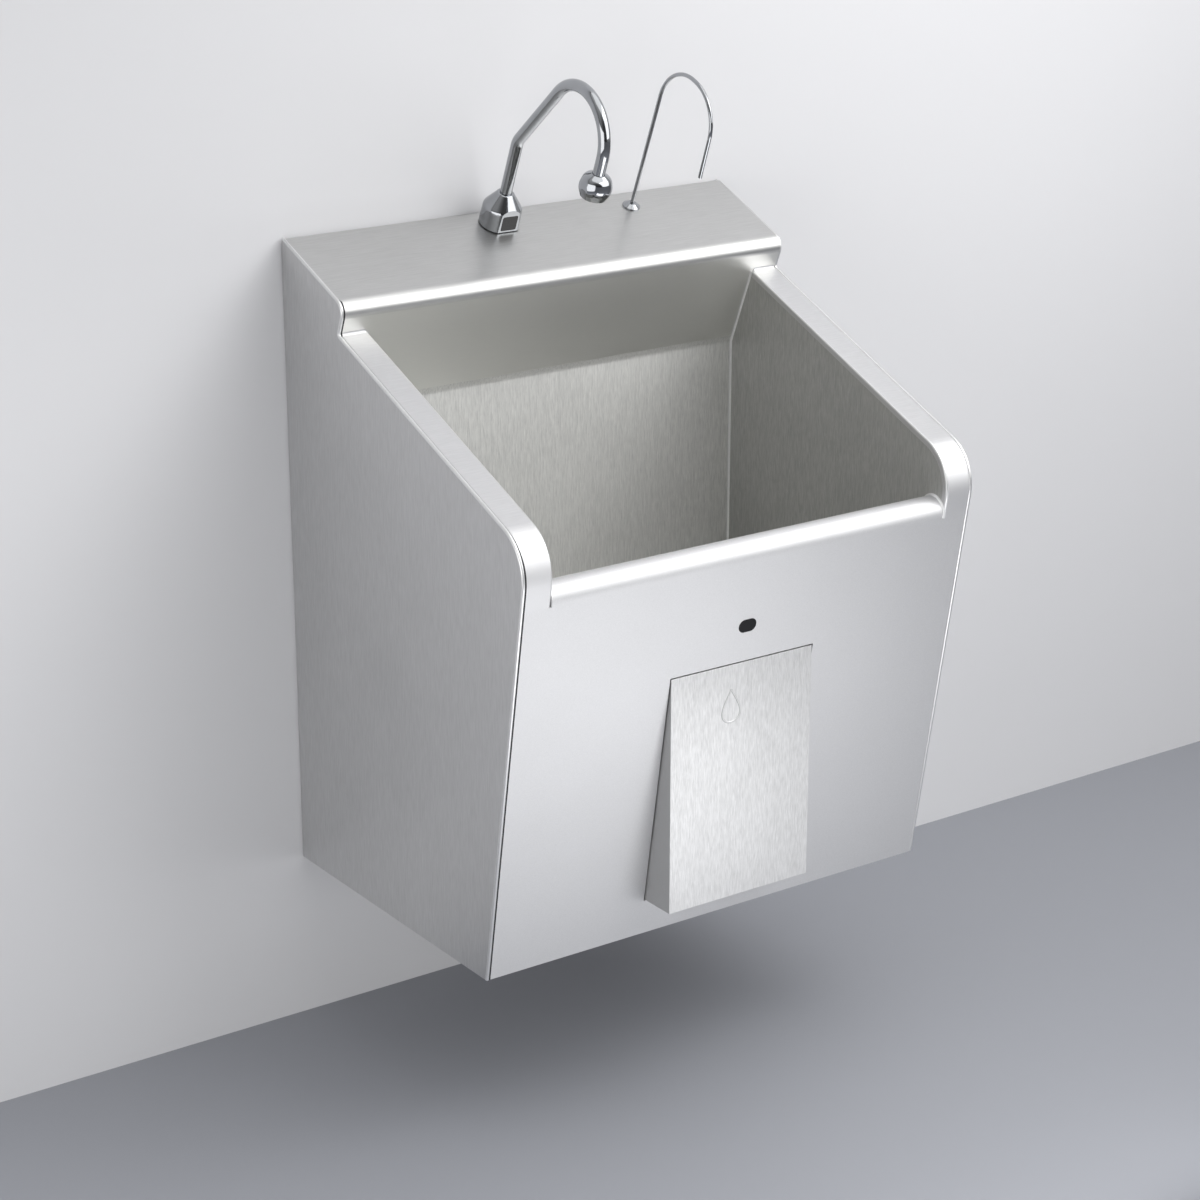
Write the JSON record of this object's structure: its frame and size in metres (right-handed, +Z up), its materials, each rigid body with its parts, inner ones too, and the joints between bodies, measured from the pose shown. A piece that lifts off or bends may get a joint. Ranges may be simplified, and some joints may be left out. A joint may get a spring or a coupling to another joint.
{
  "type": "surgical scrub sink",
  "caption": "Wall-hung stainless scrub sink: deep basin with sloped sides, sensor gooseneck faucet, thin soap spout and a knee-press panel that works a soap pump.",
  "frame": {"origin": "centre of the four wall bolts, on the wall plane", "axes": "+X to the right along the wall for someone facing it, +Y into the wall, +Z up"},
  "size_m": [0.815, 0.6468, 1.2441],
  "materials": {
    "stainless_sheet": "brushed sheet",
    "chrome_plate": "polished",
    "brass": "machined",
    "copper_tube": "drawn copper",
    "dark_window": "gloss",
    "black_rubber": "matt",
    "grey_plastic": "moulded",
    "tank_plastic": "moulded",
    "soap_line": "drawn stainless tube",
    "red_plastic": "moulded",
    "blue_plastic": "moulded"
  },
  "bodies": {
    "cabinet": {"apron_sensor_housing": "grey_plastic", "apron_sensor_window": "dark_window", "basin_back_wall": "stainless_sheet", "basin_floor": "stainless_sheet", "basin_front_wall": "stainless_sheet", "basin_left_wall": "stainless_sheet", "basin_right_wall": "stainless_sheet", "bottom_panel": "stainless_sheet", "cold_stop_valve": "brass", "cold_supply_tube": "copper_tube", "control_box": "grey_plastic", "deck": "stainless_sheet", "delivery_tube": "soap_line", "drain_body": "chrome_plate", "drain_gasket": "black_rubber", "drain_locknut": "brass", "drain_strainer": "stainless_sheet", "faucet_body": "chrome_plate", "faucet_gasket": "black_rubber", "faucet_locknut": "brass", "faucet_riser": "copper_tube", "faucet_sensor_window": "dark_window", "front_apron": "stainless_sheet", "hinge_fixed_leaf": "stainless_sheet", "hinge_pin": "stainless_sheet", "hot_stop_valve": "brass", "hot_supply_tube": "copper_tube", "left_rim_cap": "stainless_sheet", "left_side_panel": "stainless_sheet", "lower_wall_bar": "stainless_sheet", "mixing_valve": "brass", "pump_body": "grey_plastic", "pump_bracket": "stainless_sheet", "reservoir_cap": "grey_plastic", "reservoir_shelf": "stainless_sheet", "right_rim_cap": "stainless_sheet", "right_side_panel": "stainless_sheet", "soap_reservoir": "tank_plastic", "soap_spout_flange": "chrome_plate", "soap_spout_nut": "brass", "soap_spout_tube": "chrome_plate", "solenoid_valve": "grey_plastic", "suction_tube": "soap_line", "tailpiece": "chrome_plate", "trap_arm": "chrome_plate", "trap_bend": "chrome_plate", "trap_slip_nuts": "chrome_plate", "upper_wall_bar": "stainless_sheet"},
    "knee": {"knee_panel": "stainless_sheet", "hinge_moving_leaf": "stainless_sheet", "knee_striker": "black_rubber"},
    "plunger": {"pump_plunger": "stainless_sheet"},
    "spout": {"spout_tube": "chrome_plate", "spray_head": "chrome_plate", "spray_plate": "grey_plastic"},
    "knob": {"temperature_knob": "grey_plastic"},
    "hot_handle": {"hot_stop_handle": "red_plastic"},
    "cold_handle": {"cold_stop_handle": "blue_plastic"}
  },
  "joints": [
    {"name": "knee_swing", "type": "hinge", "parent": "cabinet", "child": "knee", "pos_m": [0, -0.60796, -0.0691], "axis": [1, 0, 0], "range_deg": [0, 5], "stiffness_Nm_per_rad": 20, "springref_deg": -8.59},
    {"name": "plunger_stroke", "type": "slide", "parent": "cabinet", "child": "plunger", "axis": [0, 0.9863, 0.165], "range_m": [0, 0.0217]},
    {"name": "spout_swivel", "type": "hinge", "parent": "cabinet", "child": "spout", "pos_m": [-0.047, -0.05148, 0.51615], "axis": [0, -0.3827, 0.9239], "range_deg": [-60, 60]},
    {"name": "temperature_turn", "type": "hinge", "parent": "cabinet", "child": "knob", "pos_m": [-0.047, -0.09, -0.235], "axis": [0, -1, 0], "range_deg": [-120, 120]},
    {"name": "hot_stop_turn", "type": "hinge", "parent": "cabinet", "child": "hot_handle", "pos_m": [-0.15, -0.068, -0.365], "axis": [0, -1, 0], "range_deg": [0, 90]},
    {"name": "cold_stop_turn", "type": "hinge", "parent": "cabinet", "child": "cold_handle", "pos_m": [0.056, -0.068, -0.365], "axis": [0, -1, 0], "range_deg": [0, 90]}
  ],
  "couplings": [
    {"joint": "plunger_stroke", "follows": "knee_swing", "m_per_rad": 0.2476}
  ]
}
